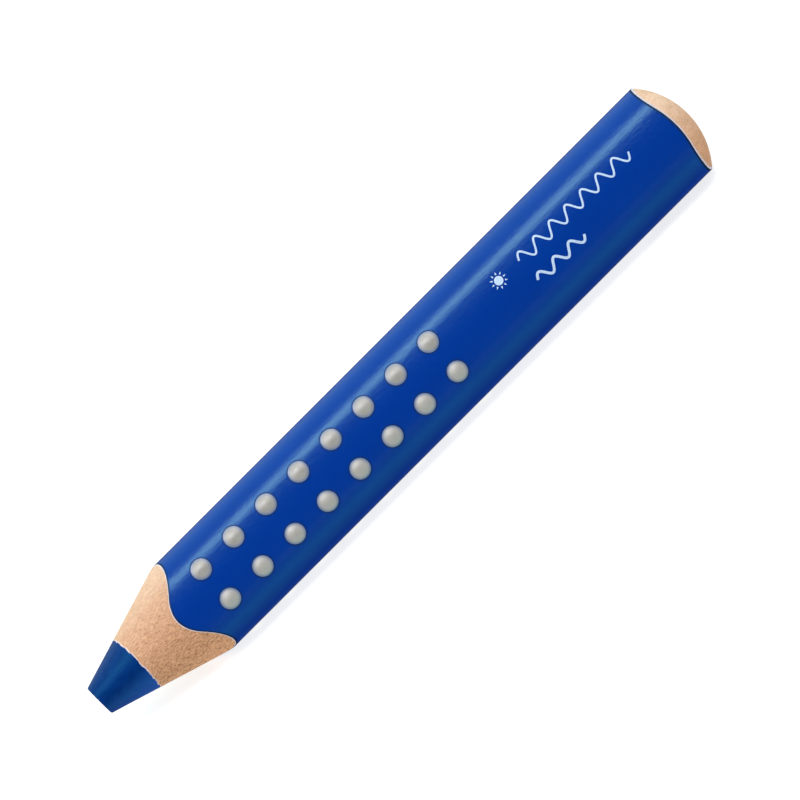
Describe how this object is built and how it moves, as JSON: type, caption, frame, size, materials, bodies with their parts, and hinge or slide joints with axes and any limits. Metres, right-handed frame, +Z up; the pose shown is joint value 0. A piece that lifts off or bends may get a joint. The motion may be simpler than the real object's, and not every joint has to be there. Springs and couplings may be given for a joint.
{
  "type": "jumbo crayon",
  "caption": "Thick wood-cased colouring crayon with a rounded triangular barrel, blunt sharpened tip, domed back end and raised grip dots.",
  "frame": {"origin": "on the surface that the crayon lies on, under the middle of its length and of its width", "axes": "+X along the barrel from the sharpened tip to the domed end, +Z up, -Y towards the side from which the printed face is seen"},
  "size_m": [0.1232, 0.017, 0.0167],
  "materials": {
    "core": "smooth waxy pigment core, freshly cut",
    "wood": "bare fine-grained casing wood, cut but not sanded",
    "adhesive": "thin dried wood glue",
    "primer": "matt white primer",
    "lacquer": "satin-gloss blue lacquer",
    "print": "pale hot-stamped foil",
    "grip_dot": "matt, slightly grippy raised lacquer"
  },
  "bodies": {
    "root": {"core": "core", "casing_slat_printed_side": "wood", "casing_slat_plain_side": "wood", "adhesive_film": "adhesive", "primer_coat": "primer", "lacquer_coat": "lacquer", "printed_sun": "print", "printed_long_wave": "print", "printed_short_wave": "print", "grip_dot_lower_a1": "grip_dot", "grip_dot_lower_a2": "grip_dot", "grip_dot_lower_a3": "grip_dot", "grip_dot_lower_a4": "grip_dot", "grip_dot_lower_a5": "grip_dot", "grip_dot_lower_a6": "grip_dot", "grip_dot_lower_a7": "grip_dot", "grip_dot_lower_a8": "grip_dot", "grip_dot_lower_b1": "grip_dot", "grip_dot_lower_b2": "grip_dot", "grip_dot_lower_b3": "grip_dot", "grip_dot_lower_b4": "grip_dot", "grip_dot_lower_b5": "grip_dot", "grip_dot_lower_b6": "grip_dot", "grip_dot_lower_b7": "grip_dot", "grip_dot_lower_b8": "grip_dot", "grip_dot_rear_a1": "grip_dot", "grip_dot_rear_a2": "grip_dot", "grip_dot_rear_a3": "grip_dot", "grip_dot_rear_a4": "grip_dot", "grip_dot_rear_a5": "grip_dot", "grip_dot_rear_a6": "grip_dot", "grip_dot_rear_a7": "grip_dot", "grip_dot_rear_a8": "grip_dot", "grip_dot_rear_b1": "grip_dot", "grip_dot_rear_b2": "grip_dot", "grip_dot_rear_b3": "grip_dot", "grip_dot_rear_b4": "grip_dot", "grip_dot_rear_b5": "grip_dot", "grip_dot_rear_b6": "grip_dot", "grip_dot_rear_b7": "grip_dot", "grip_dot_rear_b8": "grip_dot", "grip_dot_printed_a1": "grip_dot", "grip_dot_printed_a2": "grip_dot", "grip_dot_printed_a3": "grip_dot", "grip_dot_printed_a4": "grip_dot", "grip_dot_printed_a5": "grip_dot", "grip_dot_printed_a6": "grip_dot", "grip_dot_printed_a7": "grip_dot", "grip_dot_printed_a8": "grip_dot", "grip_dot_printed_b1": "grip_dot", "grip_dot_printed_b2": "grip_dot", "grip_dot_printed_b3": "grip_dot", "grip_dot_printed_b4": "grip_dot", "grip_dot_printed_b5": "grip_dot", "grip_dot_printed_b6": "grip_dot", "grip_dot_printed_b7": "grip_dot", "grip_dot_printed_b8": "grip_dot"}
  },
  "joints": []
}
